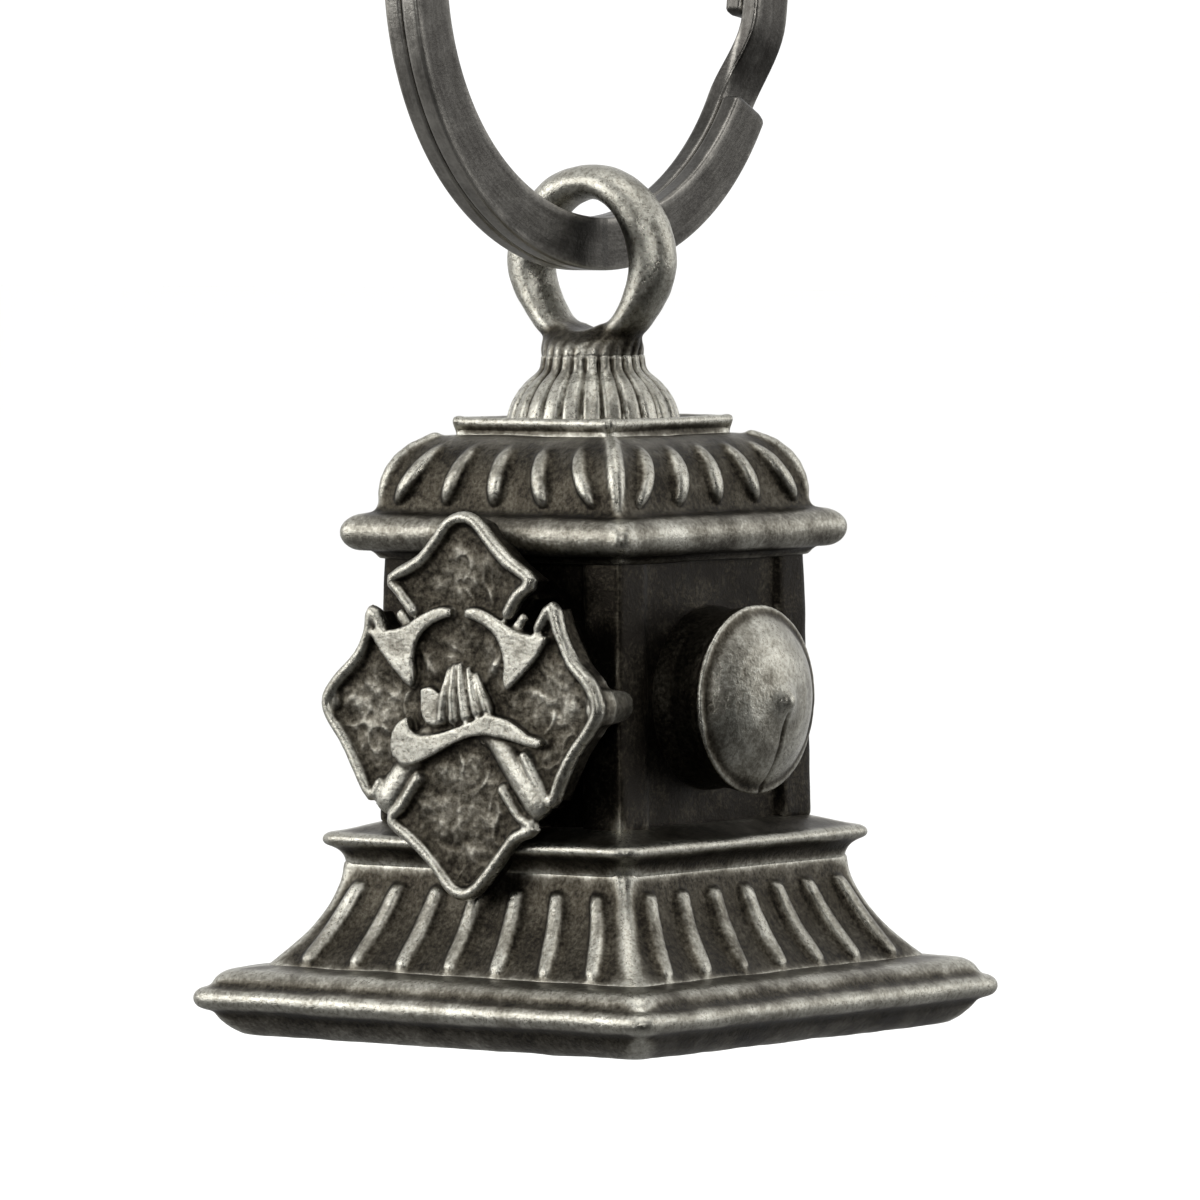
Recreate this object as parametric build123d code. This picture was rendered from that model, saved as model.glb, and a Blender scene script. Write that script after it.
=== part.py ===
from build123d import *
import os
from math import cos, pi, radians, sin, sqrt

# A small cast pewter bell in the shape of a hydrant, hung by its eye from a steel split ring.
# Millimetres. +Z is up, the badge faces -Y and the two hose outlets face -X and +X.
# The shapes are built upwards from the foot and then moved so that the origin is the hang
# point: the inside of the split ring at its top.

# ---- bell body, all on a square plan, from the foot upwards ----
FOOT_WIDTH = 25.4           # across the foot's bead
FOOT_HEIGHT = 3.0
FOOT_BEAD_Z = 2.0           # height of the bead's widest line
FOOT_TOE_SETBACK = 1.6      # how far the underside stands in from the bead
FOOT_TOP_SETBACK = 2.35     # how far the foot's top stands in from the bead
SKIRT_HEIGHT = 4.35
COLLAR_HEIGHT = 1.85
COLLAR_OVERHANG = 2.03      # collar's edge beyond the barrel's side
COLLAR_FOOT_OVERHANG = 1.28 # collar's underside, and the skirt's top, beyond the barrel's side
BARREL_WIDTH = 13.3
BARREL_TAPER = 0.1          # the barrel's side leans in by this much, each way from its middle
BARREL_HEIGHT = 11.4
POST_WIDTH = 2.1            # the plain upright left at each corner of the barrel
PANEL_DEPTH = 0.35          # how far each barrel face is sunk between its posts
RIM_HEIGHT = 2.0
RIM_OVERHANG = 1.35
DOME_HEIGHT = 3.3
PLATE_WIDTH = 8.8
PLATE_HEIGHT = 0.78
WALL = 1.4                  # bell's wall, measured level
ROOF_THICKNESS = 1.6

# ---- ribs cast on the skirt and the dome ----
RIB_PROUD = 0.25
SKIRT_RIB_COUNT = 7         # on each face
SKIRT_RIB_WIDTH = 0.55
DOME_RIB_COUNT = 5
DOME_RIB_WIDTH = 0.6
RIB_END_GAP = 0.45          # plain strip left above and below the ribs

# ---- fluted crown and hanging eye ----
CROWN_RADIUS = 3.75
CROWN_HEIGHT = 2.87
NECK_RADIUS = 2.38
EYE_WIDTH = 8.9
EYE_HEIGHT = 8.7            # of the whole oval, part of which sinks into the neck
EYE_HOLE_WIDTH = 4.56
EYE_HOLE_HEIGHT = 5.62
EYE_DEPTH = 2.1
EYE_ROUND = 0.6

# ---- hose outlets ----
OUTLET_MARGIN = 0.45        # sunk panel left on each side of the outlet
OUTLET_WAIST = 0.25         # how much slimmer the outlet is behind its rim
OUTLET_REACH = 4.55         # from the sunk panel to the nipple's tip
OUTLET_RIM_X = 2.65         # from the sunk panel to the rim's face
NIPPLE_RADIUS = 0.55
NIPPLE_LENGTH = 0.5

# ---- badge ----
BADGE_OVERHANG = 1.05       # each side point beyond the barrel's side
BADGE_HALF_HEIGHT = 8.38
BADGE_PROUD = 0.42          # badge's edge beyond the collar's edge
BADGE_EDGE_WIDTH = 0.55
BADGE_EDGE_HEIGHT = 0.35
BADGE_THICKNESS = 1.5       # of the points that stand past the barrel's corners
RELIEF_HEIGHT = 0.45

# ---- split ring: two turns of flat wire ----
RING_RADIUS = 13.0
RING_WIRE_WIDTH = 2.3
RING_WIRE_THICKNESS = 0.87
RING_TURN_GAP = 0.04
RING_FRONT_END = -30.0      # degrees about +X from +Y, where the front turn ends
RING_BACK_END = -10.0       # where the back turn ends
EYE_PLAY = 0.78             # free space between the ring's wire and the top of the eye's hole

# ---- clapper, its link and the lug that holds them ----
LUG_HOLE_RADIUS = 0.9
LUG_BAR = 0.85              # metal round the lug's hole
LUG_DEPTH = 1.2
LINK_RADIUS = 1.75
LINK_WIRE_RADIUS = 0.4
LINK_PLAY = 0.3
CLAPPER_HOLE_RADIUS = 0.9
CLAPPER_BAR = 0.7
CLAPPER_DEPTH = 1.0
CLAPPER_BALL_RADIUS = 2.6
CLAPPER_STEM_RADIUS = 0.6
CLAPPER_MOUTH_GAP = 1.6     # the ball's lowest point above the foot's underside

# ---- heights worked out from the sizes above ----
SKIRT_Z = FOOT_HEIGHT
COLLAR_Z = SKIRT_Z + SKIRT_HEIGHT
BARREL_Z = COLLAR_Z + COLLAR_HEIGHT
RIM_Z = BARREL_Z + BARREL_HEIGHT
DOME_Z = RIM_Z + RIM_HEIGHT
PLATE_Z = DOME_Z + DOME_HEIGHT
CROWN_Z = PLATE_Z + PLATE_HEIGHT
EYE_Z = CROWN_Z + CROWN_HEIGHT
ROOF_Z = PLATE_Z - ROOF_THICKNESS
MIDDLE_Z = BARREL_Z + 0.475 * BARREL_HEIGHT   # centre of the outlets and the badge

BARREL_HALF = BARREL_WIDTH / 2
FOOT_HALF = FOOT_WIDTH / 2
COLLAR_HALF = BARREL_HALF + COLLAR_OVERHANG
SKIRT_TOP_HALF = BARREL_HALF + COLLAR_FOOT_OVERHANG
SKIRT_BOTTOM_HALF = FOOT_HALF - FOOT_TOP_SETBACK
RIM_HALF = BARREL_HALF + RIM_OVERHANG
PLATE_HALF = PLATE_WIDTH / 2
PANEL_Y = BARREL_HALF - PANEL_DEPTH

# The eye's oval sinks into the neck until it is as wide as the neck.
EYE_CENTRE_Z = EYE_Z + EYE_HEIGHT / 2 * sqrt(1 - (2 * NECK_RADIUS / EYE_WIDTH) ** 2)
EYE_HOLE_TOP = EYE_CENTRE_Z + EYE_HOLE_HEIGHT / 2
RING_INNER = RING_RADIUS - RING_WIRE_WIDTH
RING_CENTRE_Z = EYE_HOLE_TOP - EYE_PLAY + RING_INNER
HANG_Z = RING_CENTRE_Z + RING_INNER
SWING_Z = RING_CENTRE_Z - RING_RADIUS + RING_WIRE_WIDTH / 2

LUG_HOLE_Z = ROOF_Z - LUG_BAR - LUG_HOLE_RADIUS
LINK_TOP_Z = LUG_HOLE_Z - LUG_HOLE_RADIUS + LINK_WIRE_RADIUS + LINK_PLAY
LINK_Z = LINK_TOP_Z - LINK_RADIUS
CLAPPER_HOLE_Z = LINK_Z - LINK_RADIUS + LINK_WIRE_RADIUS + LINK_PLAY - CLAPPER_HOLE_RADIUS
BALL_Z = CLAPPER_MOUTH_GAP + CLAPPER_BALL_RADIUS


def square_plan(side, bottom, top):
    """Solid on a square plan. side is its right-hand outline, from bottom to top."""
    left = mirror(side, Plane.YZ)
    base = Line((-bottom[0], 0, bottom[1]), (bottom[0], 0, bottom[1]))
    lid = Line((-top[0], 0, top[1]), (top[0], 0, top[1]))
    face = make_face(Curve() + [side, left, base, lid])
    prism = extrude(face, amount=FOOT_WIDTH, dir=(0, 1, 0), both=True)
    return prism & prism.rotate(Axis.Z, 90)


def xz(*points):
    """Points of an outline in the XZ plane."""
    return [(x, 0, z) for x, z in points]


def skirt_outline(proud=0.0):
    bottom = (SKIRT_BOTTOM_HALF + proud, SKIRT_Z)
    top = (SKIRT_TOP_HALF + proud, COLLAR_Z)
    flare = SKIRT_BOTTOM_HALF - SKIRT_TOP_HALF
    middle = (SKIRT_TOP_HALF + 0.34 * flare + proud, SKIRT_Z + 0.43 * SKIRT_HEIGHT)
    side = Spline(xz(bottom, middle, top), tangents=[(-1.15, 0, 1), (-0.12, 0, 1)])
    return side, bottom, top


def dome_outline(proud=0.0):
    bottom = (RIM_HALF - 1.25 + proud, DOME_Z)
    top = (PLATE_HALF + proud, PLATE_Z)
    middle = (PLATE_HALF + 1.4 + proud, DOME_Z + 0.65 * DOME_HEIGHT)
    side = Spline(xz(bottom, middle, top), tangents=[(-0.25, 0, 1), (-1.9, 0, 1)])
    return side, bottom, top


def rib_fan(count, bottom_half, bottom_z, top_half, top_z, width):
    """Slabs that run right through along X and fan out downwards, one for each rib."""
    slabs = Sketch()
    for i in range(count):
        place = 2 * (i + 0.5) / count - 1
        low = Vector(place * bottom_half, bottom_z)
        high = Vector(place * top_half, top_z)
        lean = -(high - low).get_signed_angle(Vector(0, 1, 0), Vector(0, 0, 1))
        centre = (low + high) * 0.5
        slot = SlotOverall((high - low).length, width, rotation=90 - lean)
        slabs += Pos(centre.X, centre.Y) * slot
    return extrude(Plane.YZ * slabs, amount=FOOT_WIDTH, both=True)


def ribs(outline, count, width, bottom_half, top_half):
    """Raised ribs on all four faces between the outline and one standing proud of it."""
    side, bottom, top = outline(RIB_PROUD)
    fan = rib_fan(count, bottom_half, bottom[1] + RIB_END_GAP, top_half,
                  top[1] - RIB_END_GAP, width)
    across = square_plan(side, bottom, top) & fan
    core = square_plan(*outline())
    return [r - core for r in (across, across.rotate(Axis.Z, 90))]


def foot_solid():
    bead, toe = FOOT_HALF, FOOT_HALF - FOOT_TOE_SETBACK
    shoulder = (bead - 0.2, FOOT_BEAD_Z + 0.4)
    top = (SKIRT_BOTTOM_HALF, FOOT_HEIGHT)
    nose = ThreePointArc(*xz((toe, 0), (bead - 0.5, 0.5 * FOOT_BEAD_Z), (bead, FOOT_BEAD_Z)))
    brow = Line(*xz((bead, FOOT_BEAD_Z), shoulder))
    slope = Spline(xz(shoulder, (bead - 1.2, FOOT_HEIGHT - 0.2), top))
    return square_plan(Curve() + [nose, brow, slope], (toe, 0), top)


def collar_solid():
    points = xz((SKIRT_TOP_HALF, COLLAR_Z), (COLLAR_HALF - 0.4, COLLAR_Z + 0.45),
                (COLLAR_HALF, COLLAR_Z + 1.15), (COLLAR_HALF, COLLAR_Z + 1.35),
                (COLLAR_HALF - 0.3, COLLAR_Z + 1.65), (BARREL_HALF + 0.8, BARREL_Z))
    return square_plan(Polyline(*points), (SKIRT_TOP_HALF, COLLAR_Z),
                       (BARREL_HALF + 0.8, BARREL_Z))


def barrel_solid():
    bottom = (BARREL_HALF + BARREL_TAPER, BARREL_Z)
    top = (BARREL_HALF - BARREL_TAPER, RIM_Z)
    barrel = square_plan(Line(*xz(bottom, top)), bottom, top)
    panel_width = BARREL_WIDTH - 2 * POST_WIDTH
    for turn in range(4):
        panel = Pos(0, -PANEL_Y - 1, (BARREL_Z + RIM_Z) / 2) * Box(panel_width, 2, BARREL_HEIGHT)
        barrel -= panel.rotate(Axis.Z, 90 * turn)
    return barrel


def rim_solid():
    inner = BARREL_HALF + 0.15
    low, high = (inner, RIM_Z), (inner, DOME_Z)
    bead = ThreePointArc(*xz(low, (RIM_HALF, RIM_Z + RIM_HEIGHT / 2), high))
    return square_plan(bead, low, high)


def plate_solid():
    low = (PLATE_HALF, PLATE_Z)
    high = (PLATE_HALF - 0.3, PLATE_Z + PLATE_HEIGHT)
    side = Polyline(*xz(low, (PLATE_HALF + 0.03, PLATE_Z + 0.35), high))
    return square_plan(side, low, high)


def cavity_solid():
    """The bell's hollow, one wall's thickness inside its outside from mouth to roof."""
    mouth = (FOOT_HALF - FOOT_TOE_SETBACK - WALL, -1)
    throat = (BARREL_HALF - WALL, BARREL_Z)
    shoulder = (BARREL_HALF - WALL, RIM_Z + RIM_HEIGHT / 2)
    roof = (PLATE_HALF - 0.2, ROOF_Z)
    side = Polyline(*xz(mouth, (mouth[0], 0), (SKIRT_BOTTOM_HALF - WALL, SKIRT_Z),
                        (SKIRT_TOP_HALF - WALL + 0.9, SKIRT_Z + 0.45 * SKIRT_HEIGHT),
                        (SKIRT_TOP_HALF - WALL, COLLAR_Z), throat, shoulder, roof))
    return square_plan(side, mouth, roof)


def crown_solid():
    """Round cone between the top plate and the eye, drawn in to a neck."""
    flank = Spline(xz((CROWN_RADIUS, CROWN_Z), (CROWN_RADIUS - 0.77, CROWN_Z + 0.48 * CROWN_HEIGHT),
                      (NECK_RADIUS - 0.12, CROWN_Z + 0.83 * CROWN_HEIGHT), (NECK_RADIUS, EYE_Z)))
    closing = Polyline(*xz((NECK_RADIUS, EYE_Z), (0, EYE_Z), (0, CROWN_Z), (CROWN_RADIUS, CROWN_Z)))
    return revolve(make_face(Curve() + [flank, closing]), Axis.Z)


def eye_solid():
    oval = Ellipse(EYE_WIDTH / 2, EYE_HEIGHT / 2) - Ellipse(EYE_HOLE_WIDTH / 2, EYE_HOLE_HEIGHT / 2)
    place = Plane((0, 0, EYE_CENTRE_Z), x_dir=(1, 0, 0), z_dir=(0, -1, 0))
    eye = extrude(place * oval, amount=EYE_DEPTH / 2, both=True)
    rounded = fillet(eye.edges().filter_by(GeomType.ELLIPSE), EYE_ROUND)
    keep = Pos(0, 0, EYE_Z + EYE_HEIGHT) * Box(2 * EYE_WIDTH, 2 * EYE_DEPTH, 2 * EYE_HEIGHT)
    return rounded & keep


def outlet_solid():
    """Hose outlet on the +X side, turned about its own axis."""
    start = PANEL_Y
    rim = start + OUTLET_RIM_X
    tip = start + OUTLET_REACH
    r = BARREL_HALF - POST_WIDTH - OUTLET_MARGIN
    waist = ThreePointArc((start, 0, r), (start + 0.4 * OUTLET_RIM_X, 0, r - OUTLET_WAIST),
                          (rim - 0.5, 0, r))
    lip = Polyline((rim - 0.5, 0, r), (rim - 0.15, 0, r), (rim, 0, r - 0.2), (rim, 0, r - 0.45),
                   (rim - 0.15, 0, r - 0.6))
    cap_end = tip - NIPPLE_LENGTH
    cap = ThreePointArc((rim - 0.15, 0, r - 0.6), (rim + 0.65, 0, 0.6 * r), (cap_end, 0, NIPPLE_RADIUS))
    nipple = Polyline((cap_end, 0, NIPPLE_RADIUS), (tip, 0, NIPPLE_RADIUS), (tip, 0, 0),
                      (start, 0, 0), (start, 0, r))
    face = make_face(Curve() + [waist, lip, cap, nipple])
    return Pos(0, 0, MIDDLE_Z) * revolve(face, Axis.X)


def badge_arm(tip, shoulder, spread):
    """Right-hand half edge of one arm, from its shoulder corner to its blunt tip."""
    rise = tip - shoulder
    return [(spread, shoulder), (0.55 * spread, shoulder + 0.45 * rise),
            (0.24 * spread, shoulder + 0.84 * rise), (0.1 * spread, tip)]


def badge_outline(half_width, half_height):
    """Cross with four arms whose outer edges rise to a blunt point."""
    upright = badge_arm(half_height, 0.655 * half_height, 0.49 * half_height)
    level = [(y, x) for x, y in badge_arm(half_width, 0.675 * half_width, 0.56 * half_width)]
    notch = [(0.33 * half_height, 0.49 * half_height), (0.48 * half_width, 0.39 * half_width)]
    quarter = upright[::-1] + notch + level
    right = quarter + [(x, -y) for x, y in reversed(quarter)]
    return make_face(Polyline(*right, *[(-x, y) for x, y in reversed(right)], close=True))


def crossed_axes(s):
    """Two crossed pick-head axes, drawn flat. s scales the drawing."""
    shaft = Pos(0, -0.1 * s) * SlotOverall(11.6 * s, 1.0 * s, rotation=-46)
    head = make_face(Polyline((0.5 * s, 4.0 * s), (1.6 * s, 4.25 * s), (3.0 * s, 3.4 * s),
                              (4.9 * s, 3.1 * s), (4.0 * s, 1.8 * s), (2.5 * s, 0.8 * s),
                              (2.3 * s, 2.0 * s), (1.7 * s, 3.0 * s), close=True))
    right = shaft + mirror(head, Plane.YZ)
    return right + mirror(right, Plane.YZ)


def helmet(s):
    """Helmet with a deep wavy brim, drawn flat. s scales the drawing."""
    brim = make_face(Curve() + [
        Spline((-3.4 * s, -2.2 * s), (-3.3 * s, -0.8 * s), (-2.6 * s, -0.55 * s)),
        Spline((-2.6 * s, -0.55 * s), (-1.0 * s, -1.3 * s), (1.8 * s, -0.25 * s), (4.9 * s, -1.1 * s)),
        Spline((4.9 * s, -1.1 * s), (2.0 * s, -1.2 * s), (-1.0 * s, -2.3 * s), (-3.4 * s, -2.2 * s))])
    dome = make_face(Curve() + [
        ThreePointArc((-0.9 * s, -0.9 * s), (0.3 * s, 1.8 * s), (2.0 * s, -0.2 * s)),
        Line((2.0 * s, -0.2 * s), (-0.9 * s, -0.9 * s))])
    return dome + brim


def badge_solid(core):
    """Badge that stands in front of the barrel; core is everything it is cast against."""
    front = COLLAR_HALF + BADGE_PROUD
    floor = front - BADGE_EDGE_HEIGHT
    half_width = BARREL_HALF + BADGE_OVERHANG
    scale = BADGE_HALF_HEIGHT / 8.38
    outline = badge_outline(half_width, BADGE_HALF_HEIGHT)
    field = offset(outline, -BADGE_EDGE_WIDTH, kind=Kind.INTERSECTION)
    upright = Plane((0, 0, MIDDLE_Z), x_dir=(1, 0, 0), z_dir=(0, -1, 0))

    def layer(sketch, back, front_y):
        return extrude(upright.offset(back) * sketch, amount=front_y - back)

    behind = outline & Rectangle(BARREL_WIDTH, 4 * BADGE_HALF_HEIGHT)
    badge = layer(behind, PANEL_Y, floor) + layer(outline, front - BADGE_THICKNESS, floor)
    badge += layer(outline - field, floor, front)
    badge += layer((crossed_axes(scale) & outline), floor, floor + RELIEF_HEIGHT)
    badge += layer((helmet(scale) & outline), floor, floor + 1.4 * RELIEF_HEIGHT)
    web = make_face(Polyline((BARREL_HALF - 0.5, -PANEL_Y + 1.2), (half_width - 0.3, -floor + 0.3),
                             (half_width - 1.5, -floor + 0.3), (BARREL_HALF - 0.5, -PANEL_Y),
                             close=True))
    tie = extrude(Plane.XY.offset(MIDDLE_Z) * web, amount=0.6, both=True)
    return badge + tie + mirror(tie, Plane.YZ) - core


def ring_section(angle, x):
    """Wire's rectangular section at an angle about the ring's axis, its centre at x."""
    middle = RING_RADIUS - RING_WIRE_WIDTH / 2
    out = Vector(0, cos(radians(angle)), sin(radians(angle)))
    along = Vector(0, -sin(radians(angle)), cos(radians(angle)))
    centre = Vector(x, 0, RING_CENTRE_Z) + out * middle
    return Plane(centre, x_dir=out, z_dir=along) * Rectangle(RING_WIRE_WIDTH, RING_WIRE_THICKNESS)


def split_ring_solid():
    """Two flat turns side by side, joined by the short stretch that steps across."""
    x = (RING_WIRE_THICKNESS + RING_TURN_GAP) / 2
    axis = Axis((0, 0, RING_CENTRE_Z), (1, 0, 0))
    turn = 360 + RING_FRONT_END - RING_BACK_END
    front = revolve(ring_section(RING_BACK_END, x), axis, turn)
    back = revolve(ring_section(RING_FRONT_END, -x), axis, -turn)
    steps = 6
    angles = [RING_BACK_END + (RING_FRONT_END - RING_BACK_END) * i / steps for i in range(steps + 1)]
    sections = [ring_section(a, x * cos(pi * i / steps)) for i, a in enumerate(angles)]
    return front + back + loft(sections)


def lug_solid():
    """Staple under the roof: a flat ear with a hole for the link."""
    outer = LUG_HOLE_RADIUS + LUG_BAR
    rise = ROOF_Z - LUG_HOLE_Z
    ear = Circle(outer) + Pos(0, rise / 2) * Rectangle(2 * outer, rise) - Circle(LUG_HOLE_RADIUS)
    place = Plane((0, 0, LUG_HOLE_Z), x_dir=(1, 0, 0), z_dir=(0, -1, 0))
    return extrude(place * ear, amount=LUG_DEPTH / 2, both=True)


def link_solid():
    return Pos(0, 0, LINK_Z) * Rot(0, 90, 0) * Torus(LINK_RADIUS, LINK_WIRE_RADIUS)


def clapper_solid():
    """Ball on a tapered stem with an eye at the top, turned and then joined to the eye."""
    eye_outer = CLAPPER_HOLE_RADIUS + CLAPPER_BAR
    ring = Circle(eye_outer) - Circle(CLAPPER_HOLE_RADIUS)
    place = Plane((0, 0, CLAPPER_HOLE_Z), x_dir=(1, 0, 0), z_dir=(0, -1, 0))
    eye = extrude(place * ring, amount=CLAPPER_DEPTH / 2, both=True)
    stem_top = CLAPPER_HOLE_Z - eye_outer + 0.3
    ball = Pos(0, 0, BALL_Z) * Sphere(CLAPPER_BALL_RADIUS)
    stem = Pos(0, 0, (stem_top + BALL_Z) / 2) * Cone(1.4 * CLAPPER_STEM_RADIUS, 0.8 * CLAPPER_STEM_RADIUS,
                                                     stem_top - BALL_Z)
    return eye + stem + ball


def build():
    foot, collar, barrel = foot_solid(), collar_solid(), barrel_solid()
    skirt = square_plan(*skirt_outline())
    for rib in ribs(skirt_outline, SKIRT_RIB_COUNT, SKIRT_RIB_WIDTH,
                    0.87 * SKIRT_BOTTOM_HALF, 0.97 * SKIRT_TOP_HALF):
        skirt += rib
    bonnet = rim_solid() + square_plan(*dome_outline())
    for rib in ribs(dome_outline, DOME_RIB_COUNT, DOME_RIB_WIDTH,
                    0.98 * BARREL_HALF, 1.1 * PLATE_HALF):
        bonnet += rib
    plate = plate_solid()
    core = foot + skirt + collar + barrel + bonnet
    outlet_right = outlet_solid()
    outlet_left = mirror(outlet_right, Plane.YZ)
    cavity = cavity_solid()
    return {
        "foot": foot - cavity,
        "skirt": skirt - cavity,
        "collar": collar - cavity,
        "barrel": barrel - cavity,
        "bonnet": bonnet - cavity,
        "top_plate": plate - cavity,
        "fluted_crown": crown_solid(),
        "hanging_eye": eye_solid(),
        "outlet_right": outlet_right,
        "outlet_left": outlet_left,
        "cross_badge": badge_solid(core),
        "split_ring": split_ring_solid(),
        "clapper_lug": lug_solid(),
        "clapper_link": link_solid(),
        "clapper": clapper_solid(),
    }


os.makedirs("parts", exist_ok=True)
for name, solid in build().items():
    part = Pos(0, 0, -HANG_Z) * solid
    export_step(part, f"parts/{name}.step")
    print(name, len(part.solids()), round(part.volume, 2))
print("hinges from the hang point:", SWING_Z - HANG_Z, LINK_TOP_Z - HANG_Z, LINK_Z - HANG_Z)
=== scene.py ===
from math import asin, atan2, cos, degrees, exp, pi, radians, sin, sqrt

import bmesh
import bpy
from mathutils import Matrix, Vector, noise


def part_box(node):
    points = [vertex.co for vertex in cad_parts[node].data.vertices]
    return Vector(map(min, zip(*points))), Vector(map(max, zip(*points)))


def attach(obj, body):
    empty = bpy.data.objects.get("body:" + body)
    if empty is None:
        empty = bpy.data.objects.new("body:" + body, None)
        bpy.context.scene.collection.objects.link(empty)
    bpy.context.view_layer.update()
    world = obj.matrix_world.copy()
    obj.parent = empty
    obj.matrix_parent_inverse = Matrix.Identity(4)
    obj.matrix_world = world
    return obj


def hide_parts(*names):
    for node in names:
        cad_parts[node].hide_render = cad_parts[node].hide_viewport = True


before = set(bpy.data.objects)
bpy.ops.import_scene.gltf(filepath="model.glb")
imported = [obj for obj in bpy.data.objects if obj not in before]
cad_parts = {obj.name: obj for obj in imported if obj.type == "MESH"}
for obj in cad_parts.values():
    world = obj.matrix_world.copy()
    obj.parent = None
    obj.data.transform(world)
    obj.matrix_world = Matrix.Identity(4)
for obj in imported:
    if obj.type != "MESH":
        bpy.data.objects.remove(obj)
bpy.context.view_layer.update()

# A cast pewter charm bell in the shape of a hydrant, hung from a steel split ring.
# Shapes are worked out in millimetres, with heights from the foot's underside and the badge
# towards -Y, and each piece's mesh is moved into the frame, in metres, when it is finished.

MM = 0.001
FOOT_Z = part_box("foot")[0].z
COARSE = 1.0
NEARBY, FURTHER = 0.22, 0.75            # mm over which wear is judged, for edges and for swells


def span(node):
    """A node's lowest and highest corner in mm, heights from the foot's underside."""
    base = Vector((0, 0, FOOT_Z))
    return [(corner - base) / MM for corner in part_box(node)]


FOOT_HALF = span("foot")[1].x
SKIRT_Z = span("skirt")[0].z
SKIRT_BOTTOM_HALF = span("skirt")[1].x
COLLAR_Z, COLLAR_HALF = span("collar")[0].z, span("collar")[1].x
BARREL_Z, RIM_Z = span("barrel")[0].z, span("barrel")[1].z
BARREL_HALF = span("barrel")[1].x - 0.1
RIM_HALF = span("bonnet")[1].x
PLATE_Z, CROWN_Z = span("top_plate")[0].z, span("top_plate")[1].z
PLATE_HALF = span("top_plate")[1].x
EYE_Z, EYE_TOP = span("hanging_eye")[0].z, span("hanging_eye")[1].z
EYE_HALF = span("hanging_eye")[1].x
ROOF_Z = span("clapper_lug")[1].z
OUTLET_LOW, OUTLET_HIGH = span("outlet_right")
MIDDLE_Z = (OUTLET_LOW.z + OUTLET_HIGH.z) / 2
BADGE_LOW, BADGE_HIGH = span("cross_badge")
RING_LOW, RING_HIGH = span("split_ring")
SKIRT_TOP_HALF = BARREL_HALF + 1.28
WALL = 1.4
PANEL_DEPTH = 0.35
POST_WIDTH = 2.1
DOME_Z = RIM_Z + 2.0
RELIEF = 0.35                           # badge field below the front of its edge
FLUTES = 24


# ---------------------------------------------------------------- shapes, in mm

def step(value, low, high):
    """Goes smoothly from 0 to 1 as value goes from low to high."""
    share = min(1.0, max(0.0, (value - low) / (high - low)))
    return share * share * (3 - 2 * share)


def smooth_line(points, steps):
    """Points along a smooth curve through the given ones, ends included."""
    pts = [Vector(p) for p in points]
    ends = [2 * pts[0] - pts[1]] + pts + [2 * pts[-1] - pts[-2]]
    line = []
    for a, b, c, d in zip(ends, ends[1:], ends[2:], ends[3:]):
        for t in (i / steps for i in range(steps)):
            line.append(0.5 * (2 * b + (c - a) * t + (2 * a - 5 * b + 4 * c - d) * t ** 2
                               + (3 * b - a - 3 * c + d) * t ** 3))
    return line + [pts[-1]]


def arc(centre, radius, start, end, steps):
    """Points of an arc in a profile; angles in degrees above straight outwards."""
    turns = [radians(start + (end - start) * i / steps) for i in range(steps + 1)]
    return [(centre[0] + radius * cos(a), centre[1] + radius * sin(a)) for a in turns]


def merge(*shells):
    """One bmesh that holds all the given ones, which are freed."""
    whole = bmesh.new()
    for shell in shells:
        part = bpy.data.meshes.new("part")
        shell.to_mesh(part)
        shell.free()
        whole.from_mesh(part)
        bpy.data.meshes.remove(part)
    return whole


def outwards(bm):
    bmesh.ops.recalc_face_normals(bm, faces=bm.faces)
    return bm


def moulding(profile, corner, closed=False):
    """Solid on a square plan from its outline, a list of (half width, height).
    The two ends are capped, or joined to each other when the outline is a closed one.
    corner is the plan's corner radius as a share of the half width."""
    bm = bmesh.new()
    verts = bmesh.ops.create_grid(bm, x_segments=1, y_segments=1, size=1.0)["verts"]
    bmesh.ops.bevel(bm, geom=verts, offset=corner, offset_type="OFFSET", segments=4, profile=0.5,
                    affect="VERTICES", material=-1)
    if closed:
        bmesh.ops.delete(bm, geom=list(bm.faces), context="FACES_ONLY")
    was, height = profile[0]
    bmesh.ops.scale(bm, vec=(was, was, 1), verts=bm.verts)
    bmesh.ops.translate(bm, vec=(0, 0, height), verts=bm.verts)
    first = loop = list(bm.edges)
    for half, rise in profile[1:]:
        grown = bmesh.ops.extrude_edge_only(bm, edges=loop)["geom"]
        verts = [g for g in grown if isinstance(g, bmesh.types.BMVert)]
        loop = [g for g in grown if isinstance(g, bmesh.types.BMEdge) and g.is_boundary]
        bmesh.ops.scale(bm, vec=(half / was, half / was, 1), verts=verts)
        bmesh.ops.translate(bm, vec=(0, 0, rise - height), verts=verts)
        was, height = half, rise
    if closed:
        bmesh.ops.bridge_loops(bm, edges=first + loop)
    else:
        bmesh.ops.contextual_create(bm, geom=loop)
    return outwards(bm)


def turned(profile, steps=96):
    """Solid of revolution about Z from (radius, height) points; the ends lie on the axis."""
    bm = bmesh.new()
    verts = [bm.verts.new((r, 0, z)) for r, z in profile]
    edges = [bm.edges.new(pair) for pair in zip(verts, verts[1:])]
    bmesh.ops.spin(bm, geom=verts + edges, cent=(0, 0, 0), axis=(0, 0, 1), angle=2 * pi,
                   steps=steps, use_merge=True)
    bmesh.ops.remove_doubles(bm, verts=bm.verts, dist=1e-5)
    return outwards(bm)


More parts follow.
